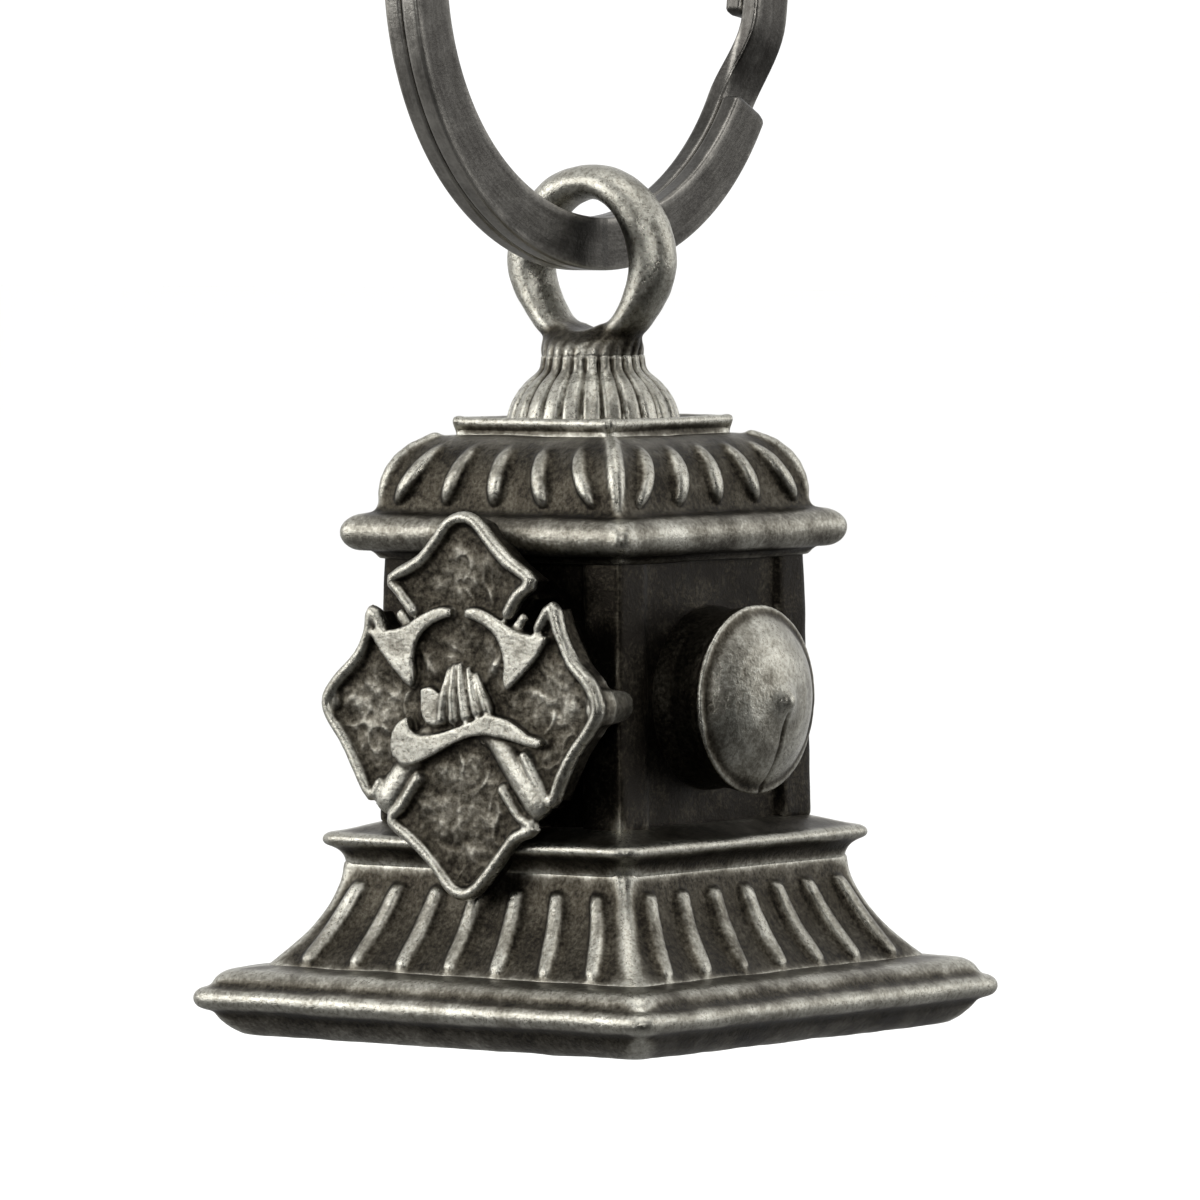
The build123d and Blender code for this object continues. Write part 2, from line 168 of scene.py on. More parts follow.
def block(low, high, round_by):
    bm = bmesh.new()
    low, high = Vector(low), Vector(high)
    bmesh.ops.create_cube(bm, size=1.0)
    bmesh.ops.scale(bm, vec=high - low, verts=bm.verts)
    bmesh.ops.translate(bm, vec=(low + high) / 2, verts=bm.verts)
    bmesh.ops.bevel(bm, geom=list(bm.edges), offset=round_by, offset_type="OFFSET", segments=2,
                    profile=0.5, affect="EDGES", material=-1)
    return bm


def slab(outline, back, front):
    """Flat plate of the (x, z) outline between two distances in front of the bell's axis."""
    bm = bmesh.new()
    face = bm.faces.new([bm.verts.new((p[0], -back, p[1])) for p in outline])
    grown = bmesh.ops.extrude_face_region(bm, geom=[face])["geom"]
    verts = [g for g in grown if isinstance(g, bmesh.types.BMVert)]
    bmesh.ops.translate(bm, vec=(0, back - front, 0), verts=verts)
    return outwards(bm)


def draw_out(bm, frames):
    """Draws a bmesh's one face, lying in its own XY plane, out through the frames' places."""
    first = face = list(bm.faces)[0]
    bmesh.ops.transform(bm, matrix=frames[0], verts=bm.verts)
    for was, now in zip(frames, frames[1:]):
        grown = bmesh.ops.extrude_face_region(bm, geom=[face])["geom"]
        if face is not first and face.is_valid:
            bmesh.ops.delete(bm, geom=[face], context="FACES_ONLY")
        verts = [g for g in grown if isinstance(g, bmesh.types.BMVert)]
        face = [g for g in grown if isinstance(g, bmesh.types.BMFace)][0]
        bmesh.ops.transform(bm, matrix=now @ was.inverted(), verts=verts)
    return outwards(bm)


def rod(points, thick, flat=1.0, upright=(0, 1, 0)):
    """Round-ended bar along 3-D points. thick is its radius at each point, or one radius for
    all of it; flat stretches it along the upright direction."""
    pts = [Vector(p) for p in points]
    radii = thick if isinstance(thick, list) else [thick] * len(pts)
    first, last = (pts[1] - pts[0]).normalized(), (pts[-1] - pts[-2]).normalized()
    stations = [(pts[0] - first * radii[0] * 0.85, first, radii[0] * 0.5),
                (pts[0] - first * radii[0] * 0.5, first, radii[0] * 0.86)]
    for i, p in enumerate(pts):
        along = (pts[min(i + 1, len(pts) - 1)] - pts[max(i - 1, 0)]).normalized()
        stations.append((p, along, radii[i]))
    stations += [(pts[-1] + last * radii[-1] * 0.5, last, radii[-1] * 0.86),
                 (pts[-1] + last * radii[-1] * 0.85, last, radii[-1] * 0.5)]
    frames = []
    for spot, along, radius in stations:
        across = along.cross(Vector(upright)).normalized()
        up = across.cross(along)
        turn = Matrix((across * radius, up * radius * flat, along)).transposed().to_4x4()
        frames.append(Matrix.Translation(spot) @ turn)
    bm = bmesh.new()
    bmesh.ops.create_circle(bm, cap_ends=True, radius=1.0, segments=12)
    return draw_out(bm, frames)


def spindle(wrap):
    """Raised rib: a ball whose points (across, along, out) are laid on a face by wrap."""
    bm = bmesh.new()
    bmesh.ops.create_uvsphere(bm, u_segments=12, v_segments=16, radius=1.0)
    bmesh.ops.rotate(bm, cent=(0, 0, 0), matrix=Matrix.Rotation(pi / 2, 3, "X"), verts=bm.verts)
    for v in bm.verts:
        v.co = wrap(v.co.x, -v.co.y, v.co.z)
    return outwards(bm)


def four_faces(make):
    """What make() builds on the front face, made again for each face and turned there."""
    shells = []
    for quarter in range(4):
        bm = make()
        bmesh.ops.rotate(bm, cent=(0, 0, 0), matrix=Matrix.Rotation(quarter * pi / 2, 3, "Z"),
                         verts=bm.verts)
        shells.append(bm)
    return shells


def skirt_half(z):
    """Half width of the skirt's hollow flare at a height."""
    rise = (z - SKIRT_Z) / (COLLAR_Z - SKIRT_Z)
    fall = max(0.0, 1 - rise) ** 1.8
    return SKIRT_TOP_HALF + (SKIRT_BOTTOM_HALF - SKIRT_TOP_HALF) * fall


def dome_half(z):
    """Half width of the bonnet's dome at a height."""
    rise = (z - DOME_Z) / (PLATE_Z - DOME_Z)
    return PLATE_HALF + (BARREL_HALF + 0.1 - PLATE_HALF) * sqrt(max(0.0, 1 - max(0.0, rise) ** 2.1))


def face_ribs(count, half_at, low, high, spread_low, spread_high, width, proud, blunt):
    """One face's ribs, fanning from spread_high apart at the top to spread_low at the bottom.
    blunt 0 gives a leaf that narrows to its ends, 1 a bar of even width with round ends."""
    def face():
        ribs = []
        for i in range(count):
            column = i - (count - 1) / 2

            def wrap(x, y, out, column=column):
                z = low + (high - low) * (y + 1) / 2
                across = max(0.001, sqrt(x * x + out * out))
                square = (x ** 4 + out ** 4 + 1e-9) ** -0.25
                size = max(0.0, 1 - y * y) ** (0.5 - 0.38 * blunt) * min(1.0, across * 50) * square
                offset = column * (spread_low + (spread_high - spread_low) * (y + 1) / 2)
                return Vector((offset + x * size * width / 2,
                               0.05 - half_at(z) - out * size * proud, z))
            ribs.append(spindle(wrap))
        return merge(*ribs)
    return four_faces(face)


# ---------------------------------------------------------------- the casting's skin

def cast_skin(bm, voxel, soften):
    """One closed skin round the overlapping shells, with its edges softened as a mould does."""
    mesh = bpy.data.meshes.new("shells")
    bm.to_mesh(mesh)
    bm.free()
    rough = bpy.data.objects.new("shells", mesh)
    bpy.context.scene.collection.objects.link(rough)
    remesh = rough.modifiers.new("skin", "REMESH")
    remesh.mode = "VOXEL"
    remesh.voxel_size = voxel * COARSE
    skin = bmesh.new()
    skin.from_object(rough, bpy.context.evaluated_depsgraph_get())
    bpy.data.objects.remove(rough)
    bpy.data.meshes.remove(mesh)
    relax(skin, max(1, round(soften / COARSE ** 2)))
    return skin


def relax(bm, rounds):
    for _ in range(rounds):
        bmesh.ops.smooth_vert(bm, verts=bm.verts, factor=0.5, use_axis_x=True, use_axis_y=True,
                              use_axis_z=True)


def roughen(bm, waves):
    """Pushes the skin in and out by noise. waves is a list of (size, depth) in mm."""
    bm.normal_update()
    moves = [sum(depth * noise.noise(v.co / size) for size, depth in waves) for v in bm.verts]
    for v, move in zip(bm.verts, moves):
        v.co = v.co + v.normal * move


def mark_wear(bm, voxel):
    """Stores how far each point stands above its surroundings, nearby (edge) and further off
    (swell), in mm. The finish is rubbed bright where it stands out and stays black where it
    lies deep."""
    bm.normal_update()
    edge = bm.verts.layers.float.new("edge")
    swell = bm.verts.layers.float.new("swell")
    places = [v.co.copy() for v in bm.verts]
    normals = [v.normal.copy() for v in bm.verts]
    grid = voxel * COARSE
    near = round((NEARBY / grid) ** 2 * 2)
    far = round((FURTHER / grid) ** 2 * 2)
    relax(bm, max(2, near))
    for v, p, n in zip(bm.verts, places, normals):
        v[edge] = (p - v.co).dot(n)
    relax(bm, far)
    for v, p, n in zip(bm.verts, places, normals):
        v[swell] = (p - v.co).dot(n)
        v.co = p


def place(bm, name, body, nodes, material):
    """Moves a finished mm mesh into the frame as the piece that stands for its CAD nodes."""
    bmesh.ops.scale(bm, vec=(MM, MM, MM), verts=bm.verts)
    bmesh.ops.translate(bm, vec=(0, 0, FOOT_Z), verts=bm.verts)
    for face in bm.faces:
        face.smooth = True
    mesh = bpy.data.meshes.new(name)
    bm.to_mesh(mesh)
    bm.free()
    mesh.materials.append(material)
    piece = bpy.data.objects.new(name, mesh)
    bpy.context.scene.collection.objects.link(piece)
    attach(piece, body)
    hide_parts(*nodes)
    return piece


def casting(name, shells, voxel, material, rub_and_painted_light, soften=4, waves=((2.6, 0.055), (0.8, 0.017)),
            carve=None, body="bell"):
    """Makes one cast piece. voxel is its mesh's spacing in mm, and soften how many rounds of
    smoothing round its edges off. waves are the (size, depth) in mm of its unevenness, and
    carve cuts into its skin. rub(place) says how much more, in mm, a place is lightened than its
    height above its surroundings tells: where hands and cloth reach it more, and, for some pieces, as a
    painted highlight."""
    skin = cast_skin(merge(*shells), voxel, soften)
    if carve:
        carve(skin)
    roughen(skin, waves)
    mark_wear(skin, voxel)
    swell = skin.verts.layers.float["swell"]
    for v in skin.verts:
        # The swell attribute also takes the pieces' painted highlights, added here with their wear.
        v[swell] += rub_and_painted_light(v.co)
    return place(skin, name + "_casting", body, [name], material)


# ---------------------------------------------------------------- bell pieces

def foot_shells():
    bead = (FOOT_HALF - 0.5, 1.66)
    outline = [(FOOT_HALF - 3.0, 0.0), (FOOT_HALF - 1.95, 0.0), (FOOT_HALF - 1.6, 0.08),
               (FOOT_HALF - 1.2, 0.36), (FOOT_HALF - 0.85, 0.75), (FOOT_HALF - 0.66, 1.1)]
    outline += arc(bead, 0.5, -62, 74, 8)
    outline += [(FOOT_HALF - 0.56, 2.16)] + arc((FOOT_HALF - 1.42, 2.1), 0.84, 12, 86, 6)
    outline += [(SKIRT_BOTTOM_HALF, SKIRT_Z + 0.05), (SKIRT_BOTTOM_HALF - WALL, SKIRT_Z)]
    return [moulding(outline, closed=True, corner=0.065)]


def skirt_shells():
    steps = 10
    heights = [SKIRT_Z + (COLLAR_Z - SKIRT_Z) * i / steps for i in range(steps + 1)]
    outline = [(SKIRT_BOTTOM_HALF - WALL, SKIRT_Z - 0.3), (SKIRT_BOTTOM_HALF, SKIRT_Z - 0.3)]
    outline += [(skirt_half(z), z) for z in heights]
    outline += [(SKIRT_TOP_HALF, COLLAR_Z + 0.2), (SKIRT_TOP_HALF - WALL, COLLAR_Z + 0.2)]
    outline += [(skirt_half(z) - WALL, z) for z in reversed(heights[1:])]
    ribs = face_ribs(7, skirt_half, SKIRT_Z + 0.3, COLLAR_Z - 0.7, 2.62, 2.18, 0.95, 0.5, 1.0)
    return [moulding(outline, closed=True, corner=0.065)] + ribs


def collar_shells():
    outline = [(SKIRT_TOP_HALF - WALL, COLLAR_Z), (SKIRT_TOP_HALF, COLLAR_Z - 0.1),
               (SKIRT_TOP_HALF + 0.02, COLLAR_Z + 0.25), (COLLAR_HALF - 0.6, COLLAR_Z + 0.58),
               (COLLAR_HALF - 0.3, COLLAR_Z + 0.82)]
    outline += arc((COLLAR_HALF - 0.3, COLLAR_Z + 1.12), 0.3, -70, 80, 6)
    outline += [(COLLAR_HALF - 0.6, COLLAR_Z + 1.46), (BARREL_HALF + 0.6, COLLAR_Z + 1.72),
                (BARREL_HALF - 0.1, BARREL_Z + 0.1), (BARREL_HALF - WALL, BARREL_Z + 0.1)]
    return [moulding(outline, closed=True, corner=0.095)]


def barrel_shells():
    panel = BARREL_HALF - PANEL_DEPTH
    inner = BARREL_HALF - WALL
    core = moulding([(inner, BARREL_Z - 0.2), (panel, BARREL_Z - 0.2), (panel, RIM_Z + 0.3),
                     (inner, RIM_Z + 0.3)], closed=True, corner=0.05)

    def post():
        out, back = BARREL_HALF, BARREL_HALF - POST_WIDTH
        shell = block((back, -out, BARREL_Z - 0.1), (out, -back, RIM_Z + 0.6), 0.22)
        for v in shell.verts:
            lean = 0.1 * (1 - 2 * (v.co.z - BARREL_Z) / (RIM_Z - BARREL_Z))
            v.co.x += lean if v.co.x > back + 0.5 else 0.0
            v.co.y -= lean if v.co.y < -back - 0.5 else 0.0
        return shell
    return [core] + four_faces(post)


def bonnet_shells():
    inner = BARREL_HALF - WALL
    steps = 9
    top = [(dome_half(DOME_Z + (PLATE_Z - DOME_Z) * sin(radians(90 * i / steps))),
            DOME_Z + (PLATE_Z - DOME_Z) * sin(radians(90 * i / steps))) for i in range(steps + 1)]
    outline = [(PLATE_HALF - 0.2, ROOF_Z), (inner, RIM_Z + 1), (inner, RIM_Z - 0.05),
               (BARREL_HALF + 0.1, RIM_Z - 0.05), (BARREL_HALF + 0.35, RIM_Z + 0.3)]
    outline += arc((RIM_HALF - 0.86, RIM_Z + 1.12), 0.86, -68, 70, 8)
    outline += [(BARREL_HALF + 0.25, DOME_Z + 0.02)] + top[1:]
    ribs = face_ribs(5, dome_half, DOME_Z + 0.35, PLATE_Z - 0.35, 2.7, 1.95, 0.92, 0.5, 0.25)
    return [moulding(outline, corner=0.07)] + ribs + dome_corners()


def dome_corners():
    """Rounded ridge down each corner of the dome, wide at its middle."""

    def corner():
        heights = [DOME_Z + 0.35 + (PLATE_Z - DOME_Z - 0.5) * i / 6 for i in range(7)]
        points = [(dome_half(z) - 0.28, -dome_half(z) + 0.28, z) for z in heights]
        return rod(points, [0.26, 0.36, 0.42, 0.45, 0.43, 0.37, 0.3])
    return four_faces(corner)


def plate_shells():
    edge = PLATE_HALF - 0.03
    outline = [(edge - 0.3, PLATE_Z - 0.3), (edge - 0.02, PLATE_Z - 0.1), (edge - 0.14, PLATE_Z + 0.08),
               (edge - 0.2, PLATE_Z + 0.3)]
    outline += arc((edge - 0.24, PLATE_Z + 0.54), 0.24, -55, 100, 7)
    outline += [(edge - 0.6, CROWN_Z - 0.14), (1.0, CROWN_Z - 0.14)]

    def drop():
        tip = edge - 0.26
        return rod([(tip, -tip, PLATE_Z + 0.56), (tip + 0.02, -tip - 0.02, PLATE_Z + 0.12)],
                   [0.3, 0.13])
    return [moulding(outline, corner=0.08)] + four_faces(drop)


def crown_shells():
    """Round cone drawn in to a neck, with flutes cut all round it."""
    neck = span("fluted_crown")[1].z
    radius = span("fluted_crown")[1].x
    side = smooth_line([(radius, CROWN_Z - 0.1), (radius - 0.27, CROWN_Z + 0.67),
                        (radius - 0.77, CROWN_Z + 1.4), (radius - 1.37, CROWN_Z + 1.95),
                        (radius - 1.5, CROWN_Z + 2.4), (radius - 1.52, neck - 0.3),
                        (radius - 1.8, neck - 0.05)], 6)
    profile = [(0, CROWN_Z - 0.3), (radius, CROWN_Z - 0.3)] + [tuple(p) for p in side]
    bm = turned(profile + [(0, neck - 0.05)], steps=240)
    for v in bm.verts:
        angle = atan2(v.co.y, v.co.x)
        reach = sqrt(v.co.x ** 2 + v.co.y ** 2)
        fade = 0.7 + 0.3 * step(v.co.z, neck, neck - 0.8)
        groove = (1 - abs(sin(FLUTES / 2 * angle))) ** 3 * fade
        lift = 1 - 0.34 * groove / reach if reach > 1 else 1
        v.co.x *= lift
        v.co.y *= lift
    return [bm]


def eye_shells():
    """Oval eye drawn in below, on a round neck that flattens into it and carries the flutes up."""
    centre = Vector((0, 0, EYE_TOP - 4.35))
    hole_half, hole_rise, depth = 2.28, 2.81, 1.07
    ring, tube = 3.0, 1.0
    bm = bmesh.new()
    bmesh.ops.create_circle(bm, cap_ends=False, radius=tube, segments=20)
    bmesh.ops.translate(bm, vec=(ring, 0, 0), verts=bm.verts)
    bmesh.ops.spin(bm, geom=list(bm.verts) + list(bm.edges), cent=(0, 0, 0), axis=(0, 1, 0),
                   angle=2 * pi, steps=72, use_merge=True)
    for v in bm.verts:
        turn = atan2(v.co.z, v.co.x)
        out = (sqrt(v.co.x ** 2 + v.co.z ** 2) - ring) / tube
        inner = hole_half * hole_rise / sqrt((hole_rise * cos(turn)) ** 2 + (hole_half * sin(turn)) ** 2)
        outer = EYE_HALF + (EYE_TOP - centre.z - EYE_HALF) * abs(sin(turn))
        below = degrees(asin(-sin(turn)))
        outer *= 1 - 0.1 * step(below, -5, 40)
        reach = (inner + outer) / 2 + out * (outer - inner) / 2
        v.co = centre + Vector((reach * cos(turn), v.co.y * depth, reach * sin(turn)))
    outwards(bm)
    rises = [0.1, 0.25, 0.4, 0.55, 0.7, 0.85, 1.0, 1.1]
    neck = turned([(0, EYE_Z - 0.65), (2.05, EYE_Z - 0.65), (2.16, EYE_Z - 0.45), (2.22, EYE_Z - 0.2)]
                  + [(2.25 + 0.28 * rise, EYE_Z + rise) for rise in rises]
                  + [(2.57 * (1 - i / 12), EYE_Z + 1.15) for i in range(13)], 240)
    for v in neck.verts:
        angle = atan2(v.co.y, v.co.x)
        groove = (1 - abs(sin(FLUTES / 2 * angle))) ** 3 * step(v.co.z, EYE_Z + 0.9, EYE_Z)
        v.co.xy *= 1 - 0.13 * groove
        v.co.y *= 1 - 0.64 * step(v.co.z, EYE_Z - 0.15, EYE_Z + 1.2)
        beside = abs(v.co.x) / hole_half
        if beside < 1:
            v.co.z = min(v.co.z, centre.z - hole_rise * sqrt(1 - beside ** 2) - 0.02)
    return [bm, neck]


def outlet_shells(side):
    """Hose outlet turned about Z, then laid along X: boss, thin lip and domed cap with a nub."""
    panel = BARREL_HALF - PANEL_DEPTH
    r = (OUTLET_HIGH.z - OUTLET_LOW.z) / 2
    tip = OUTLET_HIGH.x - panel
    lip = 2.55
    profile = [(0, -0.4), (r - 0.12, -0.4), (r - 0.12, 0.1), (r - 0.28, 0.9), (r - 0.2, 1.7),
               (r - 0.1, 2.15)]
    profile += [(r - 0.14 + 0.14 * cos(a), lip + 0.14 * sin(a)) for a in
                (radians(-80 + 40 * i) for i in range(5))]
    profile += [(r - 0.26, lip + 0.1), (r - 0.4, lip + 0.16), (r - 0.8, lip + 0.52),
                (r - 1.4, lip + 0.92), (r - 2.1, lip + 1.22), (r - 2.8, lip + 1.38),
                (0.95, lip + 1.48), (0.66, lip + 1.62), (0.4, tip - 0.2), (0.2, tip - 0.03), (0, tip)]
    bm = turned(profile, 96)
    bmesh.ops.rotate(bm, cent=(0, 0, 0), matrix=Matrix.Rotation(side * pi / 2, 3, "Y"), verts=bm.verts)
    bmesh.ops.translate(bm, vec=(side * panel, 0, MIDDLE_Z), verts=bm.verts)
    return [bm]


def parting_line(bm):
    """Thin groove where the two halves of the mould met, down the cap below its nub."""
    for v in bm.verts:
        below = MIDDLE_Z - v.co.z
        if abs(v.co.x) > BARREL_HALF + 1.5 and below > 0.5:
            v.co.x -= (0.09 if v.co.x > 0 else -0.09) * exp(-((v.co.y - 0.1) / 0.1) ** 2)


# ---------------------------------------------------------------- badge

def at_badge(points):
    return [(p[0], MIDDLE_Z - 0.1 + p[1]) for p in points]


def badge_shells():
    reach = BADGE_HIGH.x
    front = -BADGE_LOW.y
    floor = front - RELIEF
    panel = BARREL_HALF - PANEL_DEPTH
    top = [(-2.6, 4.0), (-3.3, 4.8), (-3.75, 5.35), (-2.2, 6.15), (-1.25, 7.1), (-0.6, 7.8), (0.2, 8.05),
           (0.9, 7.8), (1.65, 7.05), (2.6, 6.2), (3.85, 5.4), (3.15, 4.8), (2.6, 4.0)]
    right = [(4.3, 3.4), (5.0, 4.3), (5.35, 3.3), (6.1, 1.95), (6.9, 1.2), (7.42, 0.2), (7.1, -0.65),
             (6.0, -1.95), (5.35, -3.1), (4.9, -4.0), (4.35, -3.4), (3.5, -2.05)]
    bottom = [(2.3, -3.5), (3.2, -4.65), (3.95, -5.1), (2.9, -5.55), (1.95, -6.6), (0.9, -7.7),
              (0.15, -8.05), (-0.6, -7.8), (-1.55, -6.8), (-2.7, -5.85), (-3.85, -5.05), (-3.3, -4.4),
              (-2.4, -3.2)]
    left = [(-4.5, -3.45), (-5.0, -4.0), (-5.75, -2.8), (-6.55, -1.55), (-7.3, -0.6), (-7.42, 0.15),
            (-6.7, 1.05), (-5.65, 2.0), (-5.1, 3.0), (-4.9, 3.95), (-4.4, 3.25)]
    disc = [(4.25 * cos(radians(15 * i)), 4.25 * sin(radians(15 * i))) for i in range(24)]
    shells = [slab(at_badge(disc), panel - 0.2, floor)]
    for arm in (top, right, bottom, left):
        filled = at_badge(arm + [(0, 0)])
        narrow = at_badge([(0.86 * x, 0.86 * z) for x, z in arm] + [(0, 0)])
        shells.append(slab(filled, front - 1.6, floor))
        shells.append(slab(narrow, panel - 0.2, front - 1.4))
        rope = [(x, -floor - 0.04, z) for x, z in at_badge([tuple(p) for p in smooth_line(arm, 3)])]
        shells.append(rod(rope, 0.3, flat=1.2))
    for side in (1, -1):
        shells += axe_shells(side, floor)
        web = [(side * (reach - 0.55), 0.15), (side * (reach - 0.5), 0.9), (side * (reach - 0.75), 1.9),
               (side * (BARREL_HALF + 0.1), 2.7)]
        shells.append(rod([(x, -floor + y, MIDDLE_Z) for x, y in web], [0.45, 0.42, 0.38, 0.3],
                          flat=1.9, upright=(0, 0, 1)))
    return shells + helmet_shells(floor)


def axe_shells(side, floor):
    """Pick-head axe whose head is on the given side and whose shaft crosses to the other."""
    head = [(0.4, 4.15), (1.0, 4.22), (1.75, 4.0), (2.5, 3.6), (3.1, 3.3), (4.0, 3.15), (4.85, 3.1),
            (4.65, 2.6), (4.1, 1.95), (3.4, 1.3), (2.65, 0.72), (2.45, 1.15), (2.5, 1.8), (2.35, 2.5),
            (1.95, 3.1), (1.35, 3.5), (0.75, 3.72), (0.4, 3.8)]
    outline = at_badge([tuple(p) for p in smooth_line([(side * x, z) for x, z in head], 2)])
    ends = at_badge([(side * 3.35, 3.8), (side * 0.5, 0.0), (-side * 1.9, -1.4), (-side * 4.1, -4.05)])
    shaft = [(x, -floor + sunk, z) for (x, z), sunk in zip(ends, (0.0, 0.2, 0.02, 0.0))]
    return [slab(outline, floor - 0.4, floor + 0.4), rod(shaft, [0.26, 0.34, 0.6, 0.76], flat=0.6)]


def helmet_shells(floor):
    brim = [(-2.75, -0.55), (-3.35, -0.9), (-3.65, -1.6), (-3.55, -2.25), (-2.95, -2.62), (-2.2, -2.5),
            (-1.25, -2.12), (-0.15, -1.6), (0.85, -1.28), (1.8, -1.22), (2.9, -1.38), (4.4, -1.66),
            (4.6, -1.32), (3.85, -1.12), (3.5, -0.88), (2.75, -0.5), (1.8, -0.32), (1.0, -0.56),
            (0.05, -0.88), (-1.1, -1.2), (-2.05, -1.32), (-2.6, -1.12)]
    shield = [(-2.05, 0.65), (-1.6, 0.78), (-1.2, 0.6), (-0.8, 0.2), (-0.9, -0.8), (-1.75, -0.8),
              (-2.05, -0.2)]
    skull = bmesh.new()
    bmesh.ops.create_uvsphere(skull, u_segments=32, v_segments=24, radius=1.0)
    bmesh.ops.scale(skull, vec=(1.35, 0.34, 1.5), verts=skull.verts)
    bmesh.ops.translate(skull, vec=(0.2, -floor + 0.02, at_badge([(0, 0.1)])[0][1]), verts=skull.verts)
    shells = [skull, slab(at_badge([tuple(p) for p in smooth_line(brim, 2)]), floor - 0.4, floor + 0.52),
              slab(at_badge([tuple(p) for p in smooth_line(shield, 2)]), floor - 0.4, floor + 0.42)]
    lobes = [((-0.6, 1.5), (-0.95, -0.6)), ((-0.35, 1.68), (-0.3, -0.6)), ((-0.02, 1.75), (0.38, -0.45)),
             ((0.42, 1.6), (1.02, -0.25)), ((0.85, 1.38), (1.6, -0.1))]
    for tip, base in lobes:
        half = ((tip[0] + base[0]) / 2 + 0.06 * (tip[0] + 0.1), (tip[1] + base[1]) / 2)
        path = at_badge([tip, half, base])
        depth = [floor + 0.14, floor + 0.3, floor + 0.24]
        shells.append(rod([(x, -y, z) for (x, z), y in zip(path, depth)], [0.13, 0.22, 0.28]))
    return shells


def hammered_field(bm):
    """Lumpy surface of the badge's sunk field."""
    floor = -BADGE_LOW.y - RELIEF
    for v in bm.verts:
        if abs(v.co.y + floor) < 0.12:
            crease = (1 - abs(noise.noise(v.co / 1.5))) ** 12 * step(noise.noise(v.co / 1.9), -0.15, 0.2)
            v.co.y -= 0.06 * noise.noise(v.co / 0.75) + 0.03 * noise.noise(v.co / 0.3) + 0.06 * crease


# ---------------------------------------------------------------- ring and clapper

def split_ring():
    """Two turns of flat wire. The wire is drawn on round the ring, and where the turns change
    over it steps from the front layer to the back one."""
    radius = RING_HIGH.y
    wide, thick = 2.3, 0.87
    centre = Vector((0, 0, (RING_LOW.z + RING_HIGH.z) / 2))
    layer = RING_HIGH.x - thick / 2
    start, step_from, step_over, whole = -30.0, 340.0, 20.0, 700.0
    frames = []
    ends = [0.0, 0.25, 0.7, 1.3]
    for along in ends + [2.0 * i for i in range(1, 350)] + [whole - e for e in reversed(ends)]:
        crossing = min(1.0, max(0.0, (along - step_from) / step_over))
        turn = radians(start - along)
        out = Vector((0, cos(turn), sin(turn)))
        axis = Vector((1, 0, 0))
        full = 1 - 0.3 * max(0.0, 1 - min(along, whole - along) / 1.3) ** 2
        spot = centre + out * (radius - wide / 2) + axis * layer * cos(pi * crossing)
        rows = Matrix((axis * full, out * full, axis.cross(out))).transposed().to_4x4()
        frames.append(Matrix.Translation(spot) @ rows)
    bm = bmesh.new()
    bmesh.ops.create_grid(bm, x_segments=1, y_segments=1, size=0.5)
    bmesh.ops.scale(bm, vec=(thick, wide, 1), verts=bm.verts)
    bmesh.ops.bevel(bm, geom=list(bm.verts), offset=0.16, offset_type="OFFSET", segments=3,
                    profile=0.5, affect="VERTICES", material=-1)
    sides = [edge for edge in bm.edges if edge.calc_length() > 0.3]
    bmesh.ops.subdivide_edges(bm, edges=sides, cuts=6)
    draw_out(bm, frames)
    rubbed = bm.verts.layers.float.new("edge")
    along, across = bm.verts.layers.float.new("along"), bm.verts.layers.float.new("across")
    for v in bm.verts:
        spot = v.co - centre
        off_side = abs(spot.yz.length - radius + wide / 2) / (wide / 2)
        off_face = abs(abs(spot.x) - layer) / (thick / 2)
        v[rubbed] = step(off_side, 0.72, 1.0) * step(off_face, 0.5, 1.0)
        # Painted highlight: the wire's outer rim is lightened as though it caught the light.
        v[rubbed] += 0.9 * step(spot.yz.length, radius - 0.12, radius - 0.02)
        v[along], v[across] = radius * atan2(spot.y, spot.z), spot.yz.length
        v.co.x += 0.02 * noise.noise(v.co / 5.0)
    return bm


def link():
    low, high = span("clapper_link")
    wire = high.x
    bm = bmesh.new()
    bmesh.ops.create_circle(bm, cap_ends=False, radius=wire, segments=20)
    bmesh.ops.translate(bm, vec=(0, high.y - wire, 0), verts=bm.verts)
    bmesh.ops.spin(bm, geom=list(bm.verts) + list(bm.edges), cent=(0, 0, 0), axis=(1, 0, 0),
                   angle=2 * pi, steps=80, use_merge=True)
    bmesh.ops.translate(bm, vec=(0, 0, (low.z + high.z) / 2), verts=bm.verts)
    return outwards(bm)


def clapper_shells():
    low, high = span("clapper")
    ball = high.x
    bar = 1.25
    eye = bmesh.new()
    bmesh.ops.create_circle(eye, cap_ends=False, radius=1.0, segments=16)
    bmesh.ops.scale(eye, vec=(0.35, 0.5, 1), verts=eye.verts)
    bmesh.ops.translate(eye, vec=(bar, 0, 0), verts=eye.verts)
    bmesh.ops.spin(eye, geom=list(eye.verts) + list(eye.edges), cent=(0, 0, 0), axis=(0, 1, 0),
                   angle=2 * pi, steps=48, use_merge=True)
    bmesh.ops.translate(eye, vec=(0, 0, high.z - 1.6), verts=eye.verts)
    stem = turned([(0, low.z + ball), (0.85, low.z + ball), (0.7, low.z + 2 * ball + 0.4),
                   (0.55, high.z - 6.0), (0.48, high.z - 3.0), (0, high.z - 2.9)], 24)
    body = bmesh.new()
    bmesh.ops.create_uvsphere(body, u_segments=48, v_segments=32, radius=ball)
    bmesh.ops.translate(body, vec=(0, 0, low.z + ball), verts=body.verts)
    return [outwards(eye), stem, body]


# ---------------------------------------------------------------- materials

def linear(code):
    """An sRGB hex colour as a linear RGBA colour."""
    parts = [int(code[i:i + 2], 16) / 255 for i in (0, 2, 4)]
    return [p / 12.92 if p <= 0.04045 else ((p + 0.055) / 1.055) ** 2.4 for p in parts] + [1.0]


